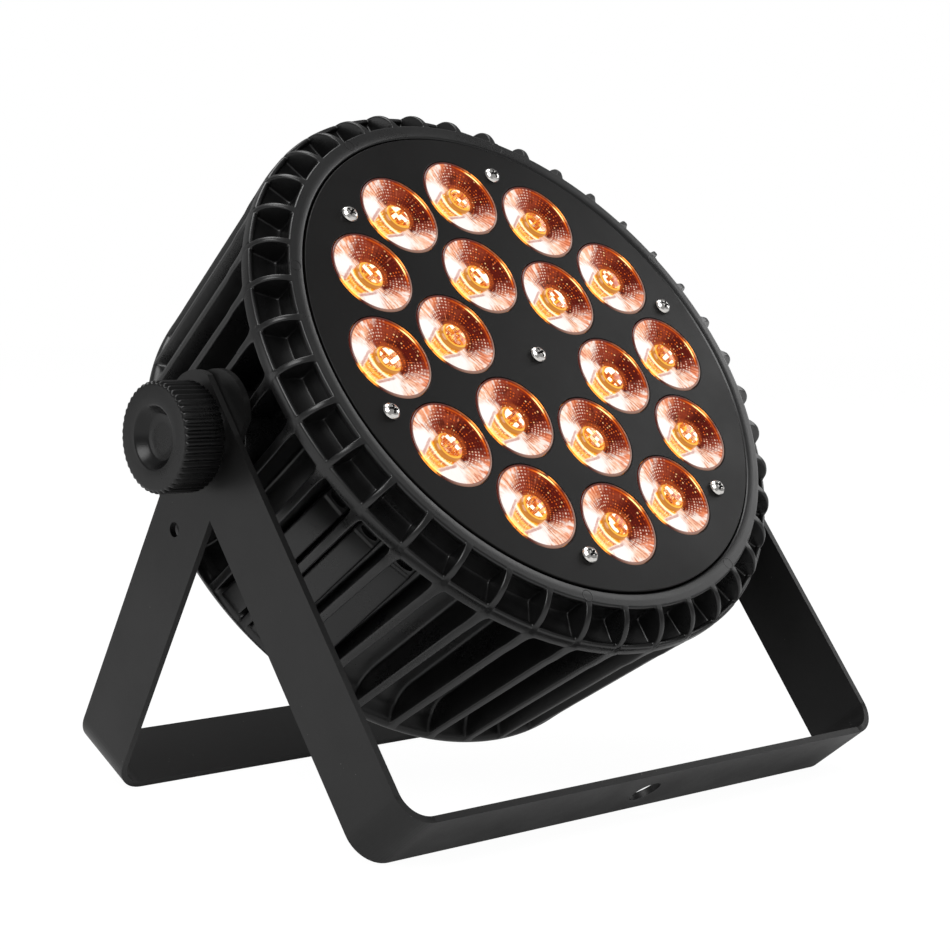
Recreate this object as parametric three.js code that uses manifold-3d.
// LED par can light on a double yoke: a finned die-cast head clamped between two nested strap
// yokes by two hand knobs. Millimetres and degrees, +Z up. The lamp face looks towards -Y,
// tilted up, and the two yokes stand on the floor (Z = 0) as an A-frame.
import * as THREE from "three";
import { mergeVertices } from "three/addons/utils/BufferGeometryUtils.js";
import Module from "manifold-3d";

const wasm = await Module();
wasm.setup();

// ---------------------------------------------------------------- driving dimensions
// Dimensions named _Z or _FRONT/_BACK in the head are in the head's own frame: X along the
// pivot axis, Z out of the lamp face, Z = 0 on the face.
const PIVOT_Y = 0.51; // centres the footprint box on the origin
const FACE_ELEVATION = 35.7; // the face normal points this far above the horizon
const PIVOT_DEPTH = 49.3; // pivot axis behind the front face

// Yokes
const FRONT_LEAN = 37.3; // front yoke arms, from the vertical
const FRONT_LENGTH = 164; // pivot axis to the outer face of the base strap
const REAR_LENGTH = 151;
const FRONT_HALF = 128.4; // centre plane to the outer face of the front (outer) yoke
const REAR_HALF = 125.5; // the same for the rear (inner) yoke
const STRAP_WIDTH = 30;
const STRAP_T = 2.5;
const STRAP_BEND = 12.5; // outer bend radius
const STRAP_END_R = 17; // each strap's end is cut to this radius,
const STRAP_END_CENTRE = 8; // struck from a point this far past the pivot
const STRAP_HOLE_R = 4.4;
const BASE_HOLE_R = 6.5; // hole in the middle of each base strap
const SIDE_HOLE_R = 2.8; // small hole in the rear yoke's arms
const SIDE_HOLE_DOWN = 41.5; // below the pivot axis
const SIDE_HOLE_ACROSS = 1.3; // off the centre line of the arm

// Housing
const BEZEL_IN = 104.4;
const BEZEL_OUT = 110.6;
const FLANGE_R = 122; // ring behind the bezel
const FLANGE_Z = -9.4;
const FINS = 40;
const RIB_T = 2.4;
const FIN_T = 3.2;
const FIN_BACK_R = 113.2; // fin crest where the fins run out into the rear rim
const FIN_BACK_Z = -99.5;
const WALL_FRONT = 107.3; // outer wall radius behind the flange
const WALL_BACK = 102.7; // outer wall radius where it starts to sweep out to the rear rim
const SWEEP_Z = -86;
const RIM_R = 113; // rear rim, which closes the pockets between the fins
const RIM_Z = -100.3; // front edge of the rim
const WALL_IN = 98.2; // inner radius at the back; it opens towards the floor
const WALL_IN_FLOOR = 101.8;
const HOUSING_BACK = -106.4;
const PANEL_FRONT_R = 109.8; // raised panels between some fins, nearly flush with the rim
const PANEL_BACK_R = 112.2;
const PANEL_WIDTH = 10.4;
const PANEL_ANGLES = [202.5, 211.5, 220.5, 337.5, 328.5, 319.5];
const CHAMBER_R = 100; // lamp chamber in front of the heat-sink floor
const FLOOR_FRONT = -23;
const FLOOR_BACK = -29.5;

// Lamp face
const PLATE_R = 103.7;
const PLATE_T = 3.2;
const PLATE_SEAT_Z = -PLATE_T - 0.3; // housing step behind the front plate
const OUTER_LED_R = 75;
const INNER_LED_R = 38.65;
const LENS_R = 17.45;
const LENS_HOLE_R = 17.85;
const SCREW_CIRCLE_R = 90;
const SCREW_HEAD_R = 3.45;

// Knobs and studs, measured out from the centre plane
const KNOB_R = 20;
const KNOB_IN = 133; // inner end of the fluted grip
const KNOB_OUT = 150;
const KNOB_FLUTES = 46;
const FLUTE_DEPTH = 0.9;
const STUD_R = 4;
const STUD_HOLE_R = STUD_R + 0.35;

// Rear cover and the [x, y] centres of its fittings
const COVER_Z = -103; // outer face
const COVER_T = 2.4;
const COVER_R = WALL_IN - 0.4;
const COVER_SCREW_R = 91.5;
const FITTING_SEAT_Z = COVER_Z - 0.25; // fitting flanges start just outside the cover
const DISPLAY = [0, 38];
const BUTTONS = [-27, -9, 9, 27].map((x) => [x, 16]);
const INLET = [-50, -14];
const OUTLET = [-42, -52];
const DMX_IN = [50, -14];
const DMX_OUT = [42, -52];
const FUSE = [0, -34];
const EYE_Y = 72;
const CABLE_HOLE = [57, 8]; // through the heat-sink floor

// ---------------------------------------------------------------- places
const rad = THREE.MathUtils.degToRad;
const polar = (radius, degrees) => [
  radius * Math.cos(rad(degrees)),
  radius * Math.sin(rad(degrees)),
];
const shifted = ([x, y], dx, dy) => [x + dx, y + dy];
const circlePlaces = (count, radius, start) =>
  Array.from({ length: count }, (_, i) => polar(radius, start + (i * 360) / count));

const ledPlaces = [...circlePlaces(12, OUTER_LED_R, 0), ...circlePlaces(6, INNER_LED_R, 45)];
const faceScrews = [[0, 0], ...circlePlaces(6, SCREW_CIRCLE_R, 15)];
const coverScrews = circlePlaces(4, COVER_SCREW_R, 45);
const driverPosts = [[-50, -26], [50, -26], [-50, 26], [50, 26]];
const mainsPoles = [[-7, -1.6], [7, -1.6], [0, 3]]; // from the centre of an inlet or outlet
const dmxPoles = circlePlaces(3, 4.4, 90); // from the centre of a socket
const dmxOutCore = shifted(DMX_OUT, 0, -1); // the output's holes sit below its centre
const dmxLatchPlace = shifted(DMX_OUT, 0, 12.6);

// ---------------------------------------------------------------- solid helpers
function solid(geometry) {
  const bare = geometry.clone();
  bare.deleteAttribute("uv");
  bare.deleteAttribute("normal");
  const welded = mergeVertices(bare, 1e-4);
  const triangles = [];
  for (let i = 0; i < welded.index.count; i += 3) {
    const [a, b, c] = [0, 1, 2].map((k) => welded.index.getX(i + k));
    if (a !== b && b !== c && a !== c) triangles.push(a, b, c);
  }
  const build = () =>
    new wasm.Manifold(
      new wasm.Mesh({
        numProp: 3,
        vertProperties: new Float32Array(welded.attributes.position.array),
        triVerts: new Uint32Array(triangles),
      }),
    );
  const made = build();
  if (made.volume() > 0) return made;
  // The outline ran the other way round, so the solid is inside out: flip every triangle.
  for (let i = 0; i < triangles.length; i += 3) {
    [triangles[i + 1], triangles[i + 2]] = [triangles[i + 2], triangles[i + 1]];
  }
  return build();
}

// Flat-shaded geometry of a solid.
function geometryOf(body) {
  const mesh = body.getMesh();
  const positions = new Float32Array(mesh.numVert * 3);
  for (let i = 0; i < mesh.numVert; i++) {
    const start = i * mesh.numProp;
    positions.set(mesh.vertProperties.subarray(start, start + 3), i * 3);
  }
  const flat = new THREE.BufferGeometry()
    .setAttribute("position", new THREE.BufferAttribute(positions, 3))
    .setIndex(new THREE.BufferAttribute(new Uint32Array(mesh.triVerts), 1))
    .toNonIndexed();
  flat.computeVertexNormals();
  return flat;
}

const union = (list) => list.reduce((a, b) => a.add(b));
const cut = (base, tools) => tools.reduce((a, b) => a.subtract(b), base);

// A body of revolution about Z from [radius, z] pairs, on the axis at both ends.
const lathe = (pairs, segments) =>
  solid(
    new THREE.LatheGeometry(
      pairs.map(([r, z]) => new THREE.Vector2(r, z)),
      segments,
    ).rotateX(Math.PI / 2),
  );
// A ring about Z of rectangular section.
const ring = (inner, outer, z0, z1, segments) =>
  lathe([[inner, z0], [outer, z0], [outer, z1], [inner, z1], [inner, z0]], segments);

// A cylinder along Z from z0 to z1, or a cone if it has another radius at z1.
const post = (radius, z0, z1, segments, [x, y] = [0, 0], endRadius = radius) =>
  solid(
    new THREE.CylinderGeometry(endRadius, radius, z1 - z0, segments)
      .rotateX(Math.PI / 2)
      .translate(x, y, (z0 + z1) / 2),
  );
const postsAt = (places, radius, z0, z1, segments) =>
  places.map((place) => post(radius, z0, z1, segments, place));
// A cylinder along X from x0 to x1.
const rod = (radius, x0, x1, y, z, segments) =>
  solid(
    new THREE.CylinderGeometry(radius, radius, Math.abs(x1 - x0), segments)
      .rotateZ(Math.PI / 2)
      .translate((x0 + x1) / 2, y, z),
  );
// A box of the given [x, y, z] size about a centre.
const block = (size, centre) =>
  solid(new THREE.BoxGeometry(...size).translate(...centre));
const blocksAt = (places, size, z) => places.map(([x, y]) => block(size, [x, y, z]));

const shapeOf = (points) => new THREE.Shape(points.map(([x, y]) => new THREE.Vector2(x, y)));
const extrude = (shape, depth, curveSegments) =>
  new THREE.ExtrudeGeometry(shape, { depth, bevelEnabled: false, curveSegments });
// A flat shape in XY, extruded from z0 to z1.
const slab = (shape, z0, z1, curveSegments) =>
  solid(extrude(shape, z1 - z0, curveSegments).translate(0, 0, z0));

function roundedRect(width, height, r, [x, y]) {
  const left = x - width / 2;
  const right = x + width / 2;
  const bottom = y - height / 2;
  const top = y + height / 2;
  const shape = new THREE.Shape();
  shape.moveTo(left + r, bottom);
  shape.lineTo(right - r, bottom);
  shape.absarc(right - r, bottom + r, r, -Math.PI / 2, 0, false);
  shape.lineTo(right, top - r);
  shape.absarc(right - r, top - r, r, 0, Math.PI / 2, false);
  shape.lineTo(left + r, top);
  shape.absarc(left + r, top - r, r, Math.PI / 2, Math.PI, false);
  shape.lineTo(left, bottom + r);
  shape.absarc(left + r, bottom + r, r, Math.PI, Math.PI * 1.5, false);
  return shape;
}

// A plate with a profile of [radius, z] pairs, standing on the plane through Z at an angle.
const finPlate = (pairs, thickness, degrees) =>
  solid(
    extrude(shapeOf(pairs), thickness)
      .translate(0, 0, -thickness / 2)
      .rotateX(Math.PI / 2) // profile X -> radius, profile Y -> Z, thickness -> tangent
      .rotateZ(rad(degrees)),
  );

// A round bar along a smooth path.
const cable = (points, radius, steps) =>
  solid(
    new THREE.ExtrudeGeometry(new THREE.Shape().absarc(0, 0, radius, 0, Math.PI * 2), {
      steps,
      curveSegments: 4,
      extrudePath: new THREE.CatmullRomCurve3(points.map((p) => new THREE.Vector3(...p))),
    }),
  );

// ---------------------------------------------------------------- materials
const material = (settings) => new THREE.MeshStandardMaterial(settings);
const seeThrough = { transparent: true, opacity: 0.5 };
const CAST = material({ color: 0x1b1b1c, roughness: 0.5, metalness: 0.35 });
const PLATE = material({ color: 0x151515, roughness: 0.55, metalness: 0.2 });
const SHEET = material({ color: 0x222223, roughness: 0.55, metalness: 0.3 });
const PLASTIC = material({ color: 0x1a1a1b, roughness: 0.6, metalness: 0 });
const NICKEL = material({ color: 0xc9c9c6, roughness: 0.25, metalness: 1 });
const ZINC = material({ color: 0x9a9c9e, roughness: 0.4, metalness: 1 });
const LENS = material({ color: 0xffc79a, roughness: 0.08, metalness: 0, ...seeThrough });
const BOARD = material({ color: 0xd9d9d2, roughness: 0.6, metalness: 0.1 });
const GREEN = material({ color: 0x1f5a34, roughness: 0.6, metalness: 0 });
const WINDOW = material({ color: 0x2a1010, roughness: 0.1, metalness: 0, ...seeThrough });
const RUBBER = material({ color: 0x101010, roughness: 0.9, metalness: 0 });
const CABLE = material({ color: 0x7a1d16, roughness: 0.7, metalness: 0 });

// ---------------------------------------------------------------- housing
// [radius, z] from the chamber floor out over the bezel, back along the wall, and in again.
const coreProfile = [
  [0, FLOOR_FRONT],
  [CHAMBER_R, FLOOR_FRONT],
  [CHAMBER_R, PLATE_SEAT_Z],
  [BEZEL_IN, PLATE_SEAT_Z],
  [BEZEL_IN, -0.8],
  [BEZEL_IN + 0.8, 0],
  [BEZEL_OUT, 0],
  [BEZEL_OUT - 1.3, -2.5],
  [BEZEL_OUT - 1.3, -11],
  [FLANGE_R - 2.2, -11],
  [FLANGE_R - 2.2, FLANGE_Z],
  [FLANGE_R, FLANGE_Z],
  [FLANGE_R, -14.6],
  [WALL_FRONT, -14.6],
  [WALL_BACK, SWEEP_Z],
  [WALL_BACK + 2.3, SWEEP_Z - 9],
  [RIM_R - 3.8, RIM_Z + 1.1],
  [RIM_R - 0.1, RIM_Z],
  [RIM_R, RIM_Z - 2],
  [RIM_R - 2.2, HOUSING_BACK + 0.9],
  [RIM_R - 4.6, HOUSING_BACK],
  [WALL_IN + 0.3, HOUSING_BACK],
  [WALL_IN, HOUSING_BACK + 0.5],
  [WALL_IN_FLOOR, FLOOR_BACK],
  [0, FLOOR_BACK],
];
// Quarter-round ribs between the bezel and the flange, as [radius, z].
const RIB_R = 11.6;
const RIB_CENTRE = [BEZEL_OUT - 0.4, -11.9];
const ribProfile = [
  ...[90, 60, 30, 0].map((angle) => shifted(RIB_CENTRE, ...polar(RIB_R, angle))),
  [BEZEL_OUT - 2.6, -11.9],
  [BEZEL_OUT - 2.6, -1.2],
];
// Cooling fins from the flange to the rear rim, as [radius, z].
const finProfile = [
  [FLANGE_R - 0.4, -14],
  [FIN_BACK_R, FIN_BACK_Z],
  [RIM_R - 1.2, RIM_Z - 1.6],
  [RIM_R - 8, RIM_Z - 2.6],
  [WALL_BACK - 2.2, RIM_Z + 2],
  [WALL_FRONT - 3, -13],
];
// Raised wall panels, low on each side, running back into the rim, as [radius, z].
const panelProfile = [
  [PANEL_FRONT_R, -20],
  [PANEL_BACK_R, RIM_Z - 0.6],
  [RIM_R - 8, RIM_Z - 2],
  [WALL_BACK - 2, RIM_Z + 3],
  [WALL_FRONT - 3, -16],
];

function housing() {
  const finAngles = Array.from({ length: FINS }, (_, i) => (i * 360) / FINS);
  const sideRods = (radius, from, to, segments) =>
    [-1, 1].map((side) => rod(radius, side * from, side * to, 0, -PIVOT_DEPTH, segments));
  return cut(
    union([
      lathe(coreProfile, FINS), // one facet between each pair of fins
      ...finAngles.map((angle) => finPlate(ribProfile, RIB_T, angle)),
      ...finAngles.map((angle) => finPlate(finProfile, FIN_T, angle)),
      ...PANEL_ANGLES.map((angle) => finPlate(panelProfile, PANEL_WIDTH, angle)),
      ...sideRods(15, 101, 121.5, 20), // pivot bosses
      ...postsAt(faceScrews, 4.2, -25, PLATE_SEAT_Z, 8),
      ...postsAt(driverPosts, 3.5, -38, -27, 8),
      ...postsAt(coverScrews, 5.5, -100.3, -28, 8),
    ]),
    [
      ...sideRods(STUD_HOLE_R, 101.4, 122, 12),
      ...postsAt(faceScrews, 2, -16, 0, 6),
      ...postsAt(coverScrews, 2, -104, -86, 6),
      post(4.4, -31, -20, 8, CABLE_HOLE),
    ],
  );
}

// ---------------------------------------------------------------- lamp face
const frontPlate = () =>
  cut(lathe([[0, 0], [PLATE_R, 0], [PLATE_R, -PLATE_T], [0, -PLATE_T]], 60), [
    ...postsAt(ledPlaces, LENS_HOLE_R, -6, 3, 14),
    ...postsAt(faceScrews, 2, -6, 3, 6),
  ]);

// A tapered cup, dished at the front.
const lens = () =>
  lathe(
    [
      [0, -7],
      [6.2, -7],
      [LENS_R - 1, 0.3],
      [LENS_R, 0.3],
      [LENS_R - 0.2, -3],
      [9.6, -18.9],
      [0, -18.9],
    ],
    14,
  );

// A disc with a square LED package behind each lens, cleared around the screw posts.
const ledBoard = () =>
  cut(
    union([post(96.5, -22.7, -21.1, 40), ...blocksAt(ledPlaces, [7, 7, 1.8], -20.4)]),
    postsAt(faceScrews, 5, -24, -20, 8),
  );

// A pan-head machine screw with a cross recess, head towards +Z.
function panHeadScrew({ crownZ, shoulder, headR, edgeZ, length, crossSize, crossWidth }) {
  const recessDepth = 2;
  const recessCentre = [0, 0, 2];
  const shankR = 1.5;
  const headUnderZ = 0.2;
  const cross = block([crossSize, crossWidth, recessDepth], recessCentre).add(
    block([crossWidth, crossSize, recessDepth], recessCentre),
  );
  const profile = [
    [0, crownZ],
    shoulder,
    [headR, edgeZ],
    [headR, headUnderZ],
    [shankR, headUnderZ],
    [shankR, -length],
    [0, -length],
  ];
  return lathe(profile, 8).subtract(cross);
}
const faceScrew = () =>
  panHeadScrew({
    crownZ: 2.5,
    shoulder: [2.2, 2.2],
    headR: SCREW_HEAD_R,
    edgeZ: 1.1,
    length: 14,
    crossSize: 3.8,
    crossWidth: 0.9,
  });
const coverScrew = () =>
  panHeadScrew({
    crownZ: 2.2,
    shoulder: [1.9, 2],
    headR: 2.8,
    edgeZ: 1,
    length: 15,
    crossSize: 3,
    crossWidth: 0.8,
  });

// ---------------------------------------------------------------- rear cover and its fittings
function rearCover() {
  const disc = lathe(
    [
      [0, COVER_Z + COVER_T],
      [COVER_R, COVER_Z + COVER_T],
      [COVER_R, COVER_Z + 0.4],
      [COVER_R - 0.4, COVER_Z],
      [0, COVER_Z],
    ],
    40,
  );
  const roundHoles = (places, radius, segments) =>
    postsAt(places, radius, -106, -98, segments);
  const squareHoles = (places, width, height) => blocksAt(places, [width, height, 10], -102);
  return cut(disc, [
    ...roundHoles(coverScrews, 2.1, 6),
    ...roundHoles(BUTTONS, 4.3, 12),
    ...squareHoles([DISPLAY], 36, 16),
    ...squareHoles([INLET, OUTLET], 28.4, 21),
    ...roundHoles([DMX_IN, DMX_OUT], 12.2, 20),
    ...squareHoles([dmxLatchPlace], 8.4, 5.2),
    ...roundHoles([FUSE], 6.6, 14),
  ]);
}

const controlBoard = () =>
  union([
    block([98, 50, 1.6], [0, 25, -86]),
    block([31, 12, 12.6], [...DISPLAY, -92.5]), // digit display
    ...blocksAt(BUTTONS, [6, 6, 4.6], -88.5), // tactile switches
    ...postsAt(BUTTONS, 1.7, -91.6, -90, 10), // and their plungers
    block([12, 12, 2.4], [-34, 38, -87.5]), // data chip
    block([14, 6, 6], [36, 40, -83]), // block on the inner side
  ]);

// A pane filling the cover's opening, with a wider flange behind it.
const displayWindow = () =>
  union([
    block([35.4, 15.4, COVER_T + 1], [...DISPLAY, COVER_Z + COVER_T / 2 + 0.5]),
    block([40, 20, 1.2], [...DISPLAY, COVER_Z + COVER_T + 0.9]),
  ]);

// Push button: cap through the cover, retaining collar behind it, stem down to the switch.
const button = () =>
  lathe(
    [
      [0, -105.2],
      [3.9, -105.2],
      [3.9, -100.2],
      [5.2, -100.2],
      [5.2, -99],
      [1.8, -99],
      [1.8, -92.7],
      [0, -92.7],
    ],
    10,
  );

const mainsBody = (place) =>
  union([
    slab(roundedRect(33, 25.6, 2, place), -106, FITTING_SEAT_Z, 2),
    block([27.6, 20.2, 22], [...place, -93.5]),
  ]);
const mainsPolesAt = (place, size, z) =>
  blocksAt(mainsPoles.map((pole) => shifted(place, ...pole)), size, z);
// Mains inlet: a recess with three blades.
const powerInlet = () =>
  union([
    cut(mainsBody(INLET), [block([23, 15.6, 15], [...INLET, -99.5])]),
    ...mainsPolesAt(INLET, [2, 4, 14], -96),
  ]);
// Mains outlet: three slots.
const powerOutlet = () => cut(mainsBody(OUTLET), mainsPolesAt(OUTLET, [2.4, 4.6, 12], -101));

// Three-pole data sockets, each a barrel on a rectangular flange.
const dmxShell = (place) =>
  union([
    slab(roundedRect(26, 31, 3, place), -105.3, FITTING_SEAT_Z, 2),
    post(11.8, -104, -80, 20, place),
  ]);
const dmxPolesAt = (place, radius, z0, z1) =>
  postsAt(dmxPoles.map((pole) => shifted(place, ...pole)), radius, z0, z1, 8);
// Input: pins in a round recess.
const dmxInput = () =>
  union([
    cut(dmxShell(DMX_IN), [post(8.9, -107, -90, 18, DMX_IN)]),
    ...dmxPolesAt(DMX_IN, 1.2, -103, -88),
  ]);
// Output: holes inside a ring groove, and an opening for the latch lever.
const dmxOutput = () =>
  cut(dmxShell(DMX_OUT), [
    ...dmxPolesAt(dmxOutCore, 1.4, -107, -95),
    ring(8, 9, -107, -93, 18).translate([...dmxOutCore, 0]),
    block([7.4, 4.2, 12], [...dmxLatchPlace, -101]),
  ]);
const dmxLatch = () => block([6.6, 3.4, 9], [...dmxLatchPlace, -102.8]);

const fuseHolder = () =>
  cut(
    union([post(7.8, -104.6, FITTING_SEAT_Z, 18, FUSE), post(6.2, -104, -76, 14, FUSE)]),
    [post(4.4, -107, -80, 12, FUSE)],
  );
// Bayonet cap with a screwdriver slot.
const fuseCap = () =>
  cut(union([post(6.6, -111, -104.9, 18, FUSE), post(4, -105.5, -82, 12, FUSE)]), [
    block([9, 1.2, 3], [...FUSE, -111]),
  ]);

// Safety-cable eye: a bent rod on a foot plate. The path is [x, z].
const eyePath = [
  [-10, -105], [-10, -112], [-8, -118], [0, -121], [8, -118], [10, -112], [10, -105],
];
const safetyEye = () =>
  union([
    slab(roundedRect(40, 13, 3, [0, EYE_Y]), -105.8, FITTING_SEAT_Z, 2),
    cable(eyePath.map(([x, z]) => [x, EYE_Y, z]), 2.6, 12),
  ]);

// ---------------------------------------------------------------- power supply and wiring
const driver = () =>
  union([
    block([116, 64, 1.6], [0, 0, -39.2]), // circuit board
    block([34, 30, 24], [-30, 4, -51.5]), // transformer
    ...postsAt([[4, 14], [4, -14]], 9, -66, -39.5, 16), // capacitors
    block([60, 3.2, 24], [26, -28, -51.5]), // heat-sink strip
    post(8, -52, -39.5, 14, [40, 12]), // choke
    block([16, 12, 12], [-45, -22, -45.5]), // block where the mains harness ends
  ]);

// Harness paths are [x, y, z]: driver to LED board, and mains inlet to driver.
const ledPath = [
  [51, 0, -43],
  [51.5, 1, -46.5],
  [57, 5, -48],
  [62.4, 8, -44],
  [62, 8, -37],
  [57.6, 8, -31.5],
  [...CABLE_HOLE, -23.6],
];
const mainsPath = [
  [...INLET, -81.4],
  [...shifted(INLET, 0, -3), -73],
  [-52, -24, -62],
  [-50, -22, -53.5],
];

// ---------------------------------------------------------------- yokes
const HALF_STRAP = STRAP_WIDTH / 2;

// The strap seen from the front: a U in XY, arms up, standing `top` past the pivot.
function strapOutline(half, length, top) {
  const bend = STRAP_BEND;
  const innerBend = STRAP_BEND - STRAP_T;
  const inner = half - STRAP_T;
  const bendY = -length + bend;
  const outline = new THREE.Shape();
  outline.moveTo(-half, top);
  outline.lineTo(-half, bendY);
  outline.absarc(-half + bend, bendY, bend, Math.PI, Math.PI * 1.5, false);
  outline.lineTo(half - bend, -length);
  outline.absarc(half - bend, bendY, bend, -Math.PI / 2, 0, false);
  outline.lineTo(half, top);
  outline.lineTo(inner, top);
  outline.lineTo(inner, bendY);
  outline.absarc(inner - innerBend, bendY, innerBend, 0, -Math.PI / 2, true);
  outline.lineTo(-inner + innerBend, -length + STRAP_T);
  outline.absarc(-inner + innerBend, bendY, innerBend, -Math.PI / 2, -Math.PI, true);
  outline.lineTo(-inner, top);
  return outline;
}

// The strap seen from the side: square at the base, a shallow round past the pivot.
function strapSide(length) {
  const edge = HALF_STRAP + 0.01; // just wider than the strap, so its flat edges stay uncut
  const corner = STRAP_END_CENTRE + Math.sqrt(STRAP_END_R ** 2 - edge ** 2);
  const swing = Math.acos(edge / STRAP_END_R);
  const side = new THREE.Shape();
  side.moveTo(-edge, -length - 5);
  side.lineTo(edge, -length - 5);
  side.lineTo(edge, corner);
  side.absarc(0, STRAP_END_CENTRE, STRAP_END_R, swing, Math.PI - swing, false);
  return side;
}

// In its own frame: the pivot at the origin, arms down -Z, strap width along Y.
function yoke(half, length, extraHoles) {
  const top = STRAP_END_CENTRE + STRAP_END_R + 4;
  const bent = solid(
    extrude(strapOutline(half, length, top), STRAP_WIDTH, 6)
      .translate(0, 0, -HALF_STRAP)
      .rotateX(Math.PI / 2),
  );
  const rounded = solid(
    extrude(strapSide(length), 2 * half + 10, 10)
      .translate(0, 0, -half - 5)
      .rotateX(Math.PI / 2) // profile Y -> Z, depth -> -Y
      .rotateZ(Math.PI / 2), // depth -> X, profile X -> Y
  );
  return cut(bent.intersect(rounded), [
    rod(STRAP_HOLE_R, -half - 4, half + 4, 0, 0, 20),
    post(BASE_HOLE_R, -length - 4, -length + 8, 20),
    ...extraHoles,
  ]);
}
const frontYoke = () => yoke(FRONT_HALF, FRONT_LENGTH, []);
const rearYoke = () => {
  const reach = REAR_HALF + 4;
  return yoke(REAR_HALF, REAR_LENGTH, [
    rod(SIDE_HOLE_R, -reach, reach, SIDE_HOLE_ACROSS, -SIDE_HOLE_DOWN, 14),
  ]);
};

// ---------------------------------------------------------------- clamping parts
// These lie along +Z, measured from the centre plane.
function knob() {
  const pitch = 360 / KNOB_FLUTES;
  const flutes = [];
  for (let i = 0; i < KNOB_FLUTES; i++) {
    flutes.push(polar(KNOB_R, i * pitch), polar(KNOB_R - FLUTE_DEPTH, (i + 0.5) * pitch));
  }
  const dish = [
    [0, 146.2],
    [7.2, 146.2],
    [11.2, KNOB_OUT + 0.2],
    [11.2, KNOB_OUT + 2],
    [0, KNOB_OUT + 2],
  ];
  return cut(
    union([
      slab(shapeOf(flutes), KNOB_IN, KNOB_OUT - 1.5),
      post(KNOB_R - 1.2, KNOB_OUT - 2, KNOB_OUT, 23, [0, 0], KNOB_R - 1.8), // outer lip
      post(11, KNOB_IN - 2.4, KNOB_IN + 1, 16), // collar towards the yoke
    ]),
    [post(STUD_HOLE_R, KNOB_IN - 4, 143, 12), lathe(dish, 16)],
  );
}
const stud = () => post(STUD_R, 104, 142.4, 12);
const knobWasher = () => ring(STUD_R + 0.5, 12, FRONT_HALF + 0.3, FRONT_HALF + 1.8, 14);
const frictionWasher = () => ring(STUD_R + 0.6, 14, 121.8, 122.7, 14);

// ---------------------------------------------------------------- assembly
function addMesh(parent, name, geometry, mat) {
  const mesh = new THREE.Mesh(geometry, mat);
  mesh.name = name;
  parent.add(mesh);
  return mesh;
}
const addSolid = (parent, name, body, mat) => addMesh(parent, name, geometryOf(body), mat);
// Copies of one solid at [x, y] places, named by their index.
function addCopies(parent, nameOf, body, mat, places, z = 0, turnX = 0) {
  const geometry = geometryOf(body);
  places.forEach(([x, y], i) => {
    const mesh = addMesh(parent, nameOf(i), geometry, mat);
    mesh.position.set(x, y, z);
    mesh.rotation.x = turnX;
  });
}
function addGroup(parent) {
  const group = new THREE.Group();
  parent.add(group);
  return group;
}

const root = new THREE.Group();
root.name = "par_can_light";

// The pivot height puts the front yoke's lowest base edge on the floor.
const PIVOT_Z =
  FRONT_LENGTH * Math.cos(rad(FRONT_LEAN)) + HALF_STRAP * Math.sin(rad(FRONT_LEAN));
// The rear yoke leans back until its base edge reaches the same floor, in radians:
// length * cos(lean) + half strap * sin(lean) = pivot height.
const REAR_LEAN =
  Math.acos(PIVOT_Z / Math.hypot(REAR_LENGTH, HALF_STRAP)) +
  Math.atan2(HALF_STRAP, REAR_LENGTH);

const pivot = addGroup(root);
pivot.position.set(0, PIVOT_Y, PIVOT_Z);
const headTurn = addGroup(pivot);
headTurn.rotation.x = rad(90 - FACE_ELEVATION);
const head = addGroup(headTurn);
head.position.set(0, 0, PIVOT_DEPTH);

addSolid(head, "housing", housing(), CAST);
addSolid(head, "front_plate", frontPlate(), PLATE);
const lensName = (i) => "lens_" + String(i + 1).padStart(2, "0");
addCopies(head, lensName, lens(), LENS, ledPlaces);
addSolid(head, "led_board", ledBoard(), BOARD);
const faceScrewName = (i) => "face_screw_" + (i || "centre");
addCopies(head, faceScrewName, faceScrew(), NICKEL, faceScrews);

addSolid(head, "rear_cover", rearCover(), SHEET);
const coverScrewName = (i) => "cover_screw_" + (i + 1);
addCopies(head, coverScrewName, coverScrew(), NICKEL, coverScrews, COVER_Z, Math.PI);
addSolid(head, "control_board", controlBoard(), GREEN);
addSolid(head, "display_window", displayWindow(), WINDOW);
addCopies(head, (i) => "button_" + (i + 1), button(), PLASTIC, BUTTONS);
addSolid(head, "power_inlet", powerInlet(), PLASTIC);
addSolid(head, "power_outlet", powerOutlet(), PLASTIC);
addSolid(head, "dmx_input", dmxInput(), ZINC);
addSolid(head, "dmx_output", dmxOutput(), ZINC);
addSolid(head, "dmx_latch", dmxLatch(), NICKEL);
addSolid(head, "fuse_holder", fuseHolder(), PLASTIC);
addSolid(head, "fuse_cap", fuseCap(), PLASTIC);
addSolid(head, "safety_eye", safetyEye(), ZINC);
addSolid(head, "driver", driver(), GREEN);
addSolid(head, "led_harness", cable(ledPath, 2.4, 12), CABLE);
addSolid(head, "mains_harness", cable(mainsPath, 2.6, 8), CABLE);

const frontGroup = addGroup(pivot);
frontGroup.rotation.x = rad(-FRONT_LEAN);
addSolid(frontGroup, "yoke_front", frontYoke(), SHEET);
const rearGroup = addGroup(pivot);
rearGroup.rotation.x = REAR_LEAN;
addSolid(rearGroup, "yoke_rear", rearYoke(), SHEET);

for (const [side, turn] of [["left", -1], ["right", 1]]) {
  const group = addGroup(pivot);
  group.rotation.y = (turn * Math.PI) / 2; // the pieces' Z to -X (left) or +X (right)
  addSolid(group, "knob_" + side, knob(), PLASTIC);
  addSolid(group, "stud_" + side, stud(), ZINC);
  addSolid(group, "knob_washer_" + side, knobWasher(), ZINC);
  addSolid(group, "friction_washer_" + side, frictionWasher(), RUBBER);
}

export default root;
